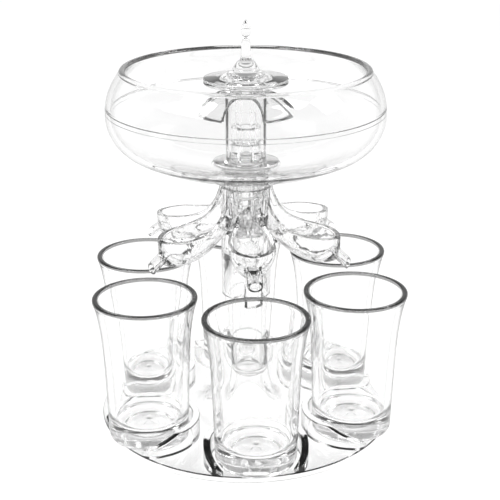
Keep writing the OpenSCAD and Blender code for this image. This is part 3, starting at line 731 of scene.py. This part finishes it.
def makeOutlet():
    s = outletShape
    neck, flange, top = level("diverter", 1), level("outlet_gasket", 1), level("valve_tube", 1)
    tubeFoot, foot = flange + s["flangeThick"], level("valve_tube")
    ring, count = s["ring"], s["threads"]
    groove, grooveR = neck - s["drop"] / 2, diverterShape["neckBore"] - s["fit"] - 2 * ring + 0.1
    # the thread shows as rings one millimetre apart
    threads = neck + s["threadFrom"] + np.repeat(np.arange(count) * 1.0, 2)
    threads += np.tile([0, 0.5], count)
    threadR = s["shank"] - np.tile([0, s["threadDeep"]], count)
    outline = np.vstack([
        [[s["outlet"], foot], [s["shank"], foot], [s["shank"], groove - ring],
         [grooveR, groove - ring], [grooveR, groove + ring], [s["shank"], groove + ring]],
        np.column_stack([threadR, threads]),
        [[s["shank"], flange], [s["flange"], flange], [s["flange"], tubeFoot],
         [s["tube"], tubeFoot], [s["tube"], top - s["hubRing"]],
         [s["turnedDown"], top - s["hubRing"]], [s["turnedDown"], top],
         [s["bore"], top], [s["bore"], tubeFoot], [s["outlet"], tubeFoot]]])
    tube = turned("valveTube", soften(outline, 0.35, 3, 25), steps=128)
    half, z = s["portWide"] / 2, tubeFoot + s["portLift"]
    low, high = (-half, -toolReach, z), (half, 0, z + s["portTall"])
    cuts = [block("port", low, high, a + s["turn"] + 45) for a in (0, 90, 180, 270)]
    half, z = s["windowWide"] / 2, tubeFoot + s["sill"]
    low, high = (-half, -toolReach, z), (half, 0, z + s["windowTall"])
    cuts.append(block("window", low, high, s["turn"]))
    fuse(tube, cut=cuts)
    inPlaceOf(tube, "bowl", "clear_acrylic", tubePlastic, "valve_tube")

    low, high = level("lock_nut"), level("lock_nut", 1)
    hole, outer = s["shank"] + s["fit"], s["neck"]
    outline = soften([[hole, low], [outer, low], [outer, high], [hole, high]], 0.5, 4)

    def gripped(r, z, v):
        # shallow round notches about the nut: r - deep (1 + cos(n v))^4 / 16, outside only
        notch = s["gripDeep"] * ((1 + np.cos(s["grips"] * v)) / 2) ** 4
        return r - notch * (r > hole + 1), z

    nut = turned("lockNut", outline, steps=256, wave=gripped)
    inPlaceOf(nut, "bowl", "clear_acrylic", bowlPlastic, "lock_nut")
    for name, node in (("nutWasher", "nut_washer"), ("outletGasket", "outlet_gasket")):
        low, high, outer = level(node) + hair, level(node, 1) - hair, reach(node)
        outline = [[hole, low], [outer, low], [outer, high], [hole, high]]
        seal = turned(name, soften(outline, 0.15, 3), steps=112)
        inPlaceOf(seal, "bowl", "clear_silicone", silicone, node)
    outline = arc((reach("shank_o_ring") - ring, groove), ring, 0, 345, 23)
    oRing = turned("shankORing", outline, steps=112)
    inPlaceOf(oRing, "bowl", "clear_silicone", silicone, "shank_o_ring")
    low, top = level("tube_cap"), level("tube_cap", 1)
    low, step, hole = low + hair, top - s["capThick"] + hair, s["rodRadius"] + s["fit"]
    plug = s["bore"] - s["fit"]
    outline = [[hole, low], [plug, low], [plug, step], [s["cap"], step], [s["cap"], top],
               [hole, top]]
    cap = turned("tubeCap", soften(outline, 0.35, 3), steps=112)
    inPlaceOf(cap, "bowl", "clear_acrylic", bowlPlastic, "tube_cap")


makeOutlet()

umbrellaShape = {
    "ball": 31.5, "thick": 1.5, "edge": 0.35, "thinning": 14, "reach": 24.8, "arch": 9.4,
    "archLift": 0.3, "turn": -8, "hub": 10.7, "bore": 9.05, "bead": 0.6,
}


def makeUmbrella():
    # a spherical dome, r = R cos a and z = middle + R sin a, with four round arches cut through it
    s = umbrellaShape
    hubLow = level("petal_umbrella", 1) - outletShape["hubRing"]
    inside = s["ball"] - s["thick"]
    ballAt = hubLow + 0.3 - math.sqrt(inside ** 2 - outletShape["cap"] ** 2)
    tip = ballAt + math.sqrt(s["ball"] ** 2 - s["reach"] ** 2)
    low = math.degrees(math.acos(s["reach"] / s["ball"]))
    hub = math.degrees(math.acos(s["hub"] / s["ball"]))
    hubIn = math.degrees(math.acos(outletShape["cap"] / inside))
    # the inner skin runs out towards the outer one, so that the petals end in a thin edge:
    # R = inside + (thick - edge) t^thinning
    steps, hubTop = 24, hubLow + outletShape["hubRing"]
    a = np.radians(np.linspace(hubIn, low, steps + 1))
    grown = inside + (s["thick"] - s["edge"]) * np.linspace(0, 1, steps + 1) ** s["thinning"]
    inner = np.column_stack([grown * np.cos(a), ballAt + grown * np.sin(a)])
    outline = np.vstack([arc((0, ballAt), s["ball"], low, hub, steps),
                         [[s["hub"], hubTop], [s["bore"], hubTop], [s["bore"], hubLow]], inner])
    dome = turned("petalUmbrella", soften(outline, 0.3, 3, 25), steps=160)
    turns, archAt = [90 * i + s["turn"] for i in range(4)], tip + s["archLift"]
    ends = np.array([[0, -outletShape["cap"] - 0.6, archAt], [0, -3 * toolReach, archAt]])
    cuts = [rod("arch", *spun(ends, turn), s["arch"], 72) for turn in turns]
    # a bead runs along each arch: x = a cos f, z = archAt + a sin f, and y puts it on the middle
    # of the dome's skin
    middle, start = s["ball"] - s["thick"] / 2, outletShape["cap"] + 0.5
    f = np.radians(np.linspace(1, 179, 61))
    x, z = s["arch"] * np.cos(f), archAt + s["arch"] * np.sin(f)
    y = -np.maximum(start, np.sqrt(np.maximum(0, middle ** 2 - x ** 2 - (z - ballAt) ** 2)))
    z = ballAt + np.sqrt(middle ** 2 - x ** 2 - y ** 2)
    path = np.stack([x, y, z], -1)
    along = np.gradient(path, axis=0)
    along /= np.linalg.norm(along, axis=1)[:, None]
    out = path - [0, 0, ballAt]
    out /= np.linalg.norm(out, axis=1)[:, None]
    aside = np.cross(along, out)
    v = np.linspace(0, 2 * np.pi, 16, endpoint=False)[None, :, None]
    bead = path[:, None] + s["bead"] * (np.cos(v) * out[:, None] + np.sin(v) * aside[:, None])
    points = bead.reshape(-1, 3)
    beads = [lofted("bead", spun(points, turn).reshape(bead.shape)) for turn in turns]
    paths = np.concatenate([spun(path, turn) for turn in turns])
    fuse(dome, cut=cuts)
    fuse(dome, add=beads)
    inPlaceOf(dome, "bowl", "clear_acrylic", bowlPlastic, "petal_umbrella")

    def onBead(centre, normal):
        return np.linalg.norm(centre[:, None] - paths, axis=2).min(1) < s["bead"] + 0.15

    # the beads get painted shade
    finishWhere(dome, cutEdgePaintedShade, onBead)


makeUmbrella()
print("outlet and umbrella made")

valveShape = {
    "rod": 5.1, "rodBore": 2.3, "gap": 0.3, "fit": 0.05, "stem": 3.0, "button": 4.0,
    "buttonTall": 1.5, "stopper": 7.1, "boss": 7.7, "bossTall": 1.6, "knob": 20.2,
    "halfThick": 1.95, "low": 11.2, "edge": 0.8, "crown": 8.0, "stalk": 17.6, "drop": 2.4,
    "rise": (12, 0.7), "hollowAt": (8.8, 5.2), "hollow": 3,
}


def makeValve():
    s, o = valveShape, outletShape
    low, top = level("valve_rod"), level("valve_rod", 1)
    outline = [[s["rodBore"], low], [s["rod"], low], [s["rod"], top], [s["rodBore"], top]]
    bar = turned("valveRod", soften(outline, 0.3, 3), steps=96)
    inPlaceOf(bar, "valve", "clear_acrylic", bowlPlastic, "valve_rod")

    low, top = level("rod_guide"), level("rod_guide", 1)
    hole, outer = s["rod"] - s["fit"], o["bore"] - s["gap"]
    outline = [[hole, low], [outer, low], [outer, top], [hole, top]]
    guide = turned("rodGuide", soften(outline, 0.3, 3), steps=96)
    half = o["windowWide"] / 2 - s["gap"]
    lug = block("lug", (-half, s["gap"] - o["tube"], low), (half, -s["rod"] - 0.6, top), o["turn"])
    fuse(guide, add=[lug])
    inPlaceOf(guide, "valve", "clear_acrylic", bowlPlastic, "rod_guide")

    seal, stop, top = level("stopper_seal"), level("stopper_seal", 1), level("stopper", 1)
    rodFoot = level("valve_rod")
    outline = [[0, seal - s["buttonTall"]], [s["button"], seal - s["buttonTall"]],
               [s["button"], seal], [s["stem"], seal], [s["stem"], stop], [s["stopper"], stop],
               [s["stopper"], top], [hole, top], [hole, rodFoot], [0, rodFoot]]
    stopper = turned("stopper", soften(outline, 0.5, 3), steps=96)
    inPlaceOf(stopper, "valve", "clear_acrylic", bowlPlastic, "stopper")
    stem, low, high = s["stem"] + hair, seal + hair, stop - hair
    outline = [[stem, low], [s["stopper"], low], [s["stopper"], high], [stem, high]]
    ring = turned("stopperSeal", soften(outline, 0.3, 4), steps=96)
    inPlaceOf(ring, "valve", "clear_silicone", silicone, "stopper_seal")


makeValve()


def makeKnob():
    s = valveShape
    low, middle = level("knob_base"), level("knob_base") + s["halfThick"]
    bore, edge, boss = s["rod"] - s["fit"], s["edge"], middle + s["bossTall"]
    outline = np.vstack([
        [[bore, low], [s["low"], low], [s["knob"] - 1.2, low + 0.5 * s["halfThick"]]],
        arc((s["knob"] - edge, middle - edge), edge, -50, 60, 12),
        [[s["knob"] - edge, middle], [s["boss"], middle], [s["boss"], boss], [bore, boss]]])
    base = turned("knobBase", soften(outline, 0.3, 3, 25), steps=144)
    inPlaceOf(base, "valve", "clear_acrylic", bowlPlastic, "knob_base")
    disc, top = low + 2 * s["halfThick"], level("splash_cap", 1)
    recess = s["boss"] + s["fit"]
    crown, stalk = disc + s["crown"], disc + s["stalk"]
    # the drop is fattest below its middle: r = drop sin^0.8(pi u^0.8), with u the share of height
    u = np.linspace(0.06, 0.97, 16)
    drop = np.column_stack([s["drop"] * np.sin(np.pi * u ** 0.8) ** 0.8,
                            stalk + (top - stalk) * u])
    outline = np.vstack([
        [[0, boss + hair], [recess, boss + hair], [recess, middle + hair],
         [s["knob"] - edge, middle + hair]],
        arc((s["knob"] - edge, middle + edge), edge, -60, 50, 12),
        [[s["rise"][0], disc + s["rise"][1]]],
        arc((s["hollowAt"][0], disc + s["hollowAt"][1]), s["hollow"], 250, 190, 12),
        [[4.6, crown - 1.6], [3.6, crown - 0.4], [2.6, crown], [2.3, crown + 2],
         [2.1, stalk - 2], [1.6, stalk]],
        drop, [[0, top]]])
    splash = turned("splashCap", soften(outline, 0.8, 4, 10), steps=144, crease=50)
    inPlaceOf(splash, "valve", "clear_acrylic", bowlPlastic, "splash_cap")


makeKnob()
print("valve and knob made")

setShape = {
    "floor": 3.0, "floorAt": -0.0002, "floorTone": 0.3, "glow": 0.78, "fill": 0.75,
    "tones": ((0.0, 1.0), (0.66, 1.0), (0.74, 0.5), (0.86, 0.22), (1.0, 0.25)),
    "lamps": (("keyLamp", (-0.7, -0.5, 0.9), 0.5, 6.0), ("sideLamp", (0.8, -0.2, 0.7), 0.35, 3.0)),
    "lampsAim": (0, 0, 0.1), "bounces": 40, "glossyBounces": 7,
}


def makeSet():
    # a pale floor that keeps the object's shadow, a white horizon and a darker ceiling that only
    # reflections and refractions see. Cycles counts reflections inside clear plastic as glossy
    # bounces, so their number sets how dark the plastic's lines get
    s = setShape
    bpy.ops.mesh.primitive_plane_add(size=2 * s["floor"], location=(0, 0, s["floorAt"]))
    floor = bpy.context.object
    floor.name = "floor"
    material = bpy.data.materials.new("paleFloor")
    material.use_nodes = True
    nodes, links = material.node_tree.nodes, material.node_tree.links
    nodes.clear()
    out = nodes.new("ShaderNodeOutputMaterial")
    lit = nodes.new("ShaderNodeBsdfDiffuse")
    lit.inputs["Color"].default_value = (s["floorTone"],) * 3 + (1,)
    glow = nodes.new("ShaderNodeEmission")
    glow.inputs["Strength"].default_value = s["glow"]
    both = nodes.new("ShaderNodeAddShader")
    links.new(lit.outputs["BSDF"], both.inputs[0])
    links.new(glow.outputs["Emission"], both.inputs[1])
    links.new(both.outputs["Shader"], out.inputs["Surface"])
    floor.data.materials.append(material)
    world = bpy.data.worlds.new("studio")
    bpy.context.scene.world = world
    world.use_nodes = True
    nodes, links = world.node_tree.nodes, world.node_tree.links
    nodes.clear()
    out = nodes.new("ShaderNodeOutputWorld")
    way = nodes.new("ShaderNodeTexCoord")
    split = nodes.new("ShaderNodeSeparateXYZ")
    links.new(way.outputs["Generated"], split.inputs["Vector"])
    rise = nodes.new("ShaderNodeMapRange")
    rise.inputs["From Min"].default_value = -1
    links.new(split.outputs["Z"], rise.inputs["Value"])
    ramp = nodes.new("ShaderNodeValToRGB")
    stops = ramp.color_ramp.elements
    for place, tone in s["tones"][1:-1]:
        stops.new(place)
    for stop, (place, tone) in zip(stops, s["tones"]):
        stop.position, stop.color = place, (tone,) * 3 + (1,)
    links.new(rise.outputs["Result"], ramp.inputs["Fac"])
    rays = nodes.new("ShaderNodeLightPath")
    seenOrSharp = nodes.new("ShaderNodeMath")
    seenOrSharp.operation = "MAXIMUM"
    links.new(rays.outputs["Is Glossy Ray"], seenOrSharp.inputs[0])
    links.new(rays.outputs["Is Transmission Ray"], seenOrSharp.inputs[1])
    around = nodes.new("ShaderNodeBackground")
    links.new(ramp.outputs["Color"], around.inputs["Color"])
    plain = nodes.new("ShaderNodeBackground")
    plain.inputs["Color"].default_value = (1, 1, 1, 1)
    fill = nodes.new("ShaderNodeBackground")
    fill.inputs["Color"].default_value = (1, 1, 1, 1)
    fill.inputs["Strength"].default_value = s["fill"]
    first, second = nodes.new("ShaderNodeMixShader"), nodes.new("ShaderNodeMixShader")
    links.new(seenOrSharp.outputs["Value"], first.inputs["Fac"])
    links.new(fill.outputs["Background"], first.inputs[1])
    links.new(around.outputs["Background"], first.inputs[2])
    links.new(rays.outputs["Is Camera Ray"], second.inputs["Fac"])
    links.new(first.outputs["Shader"], second.inputs[1])
    links.new(plain.outputs["Background"], second.inputs[2])
    links.new(second.outputs["Shader"], out.inputs["Surface"])
    for name, place, size, power in s["lamps"]:
        lamp = bpy.data.lights.new(name, "AREA")
        lamp.size, lamp.energy = size, power
        stand = bpy.data.objects.new(name, lamp)
        bpy.context.scene.collection.objects.link(stand)
        stand.location = place
        aim = Vector(s["lampsAim"]) - Vector(place)
        stand.rotation_euler = aim.to_track_quat("-Z", "Y").to_euler()
    scene = bpy.context.scene
    scene.view_settings.view_transform = "Standard"
    scene.cycles.max_bounces = s["bounces"]
    scene.cycles.transmission_bounces = s["bounces"]
    scene.cycles.glossy_bounces = s["glossyBounces"]
    scene.cycles.transparent_max_bounces = s["bounces"]


makeSet()
print("set made")
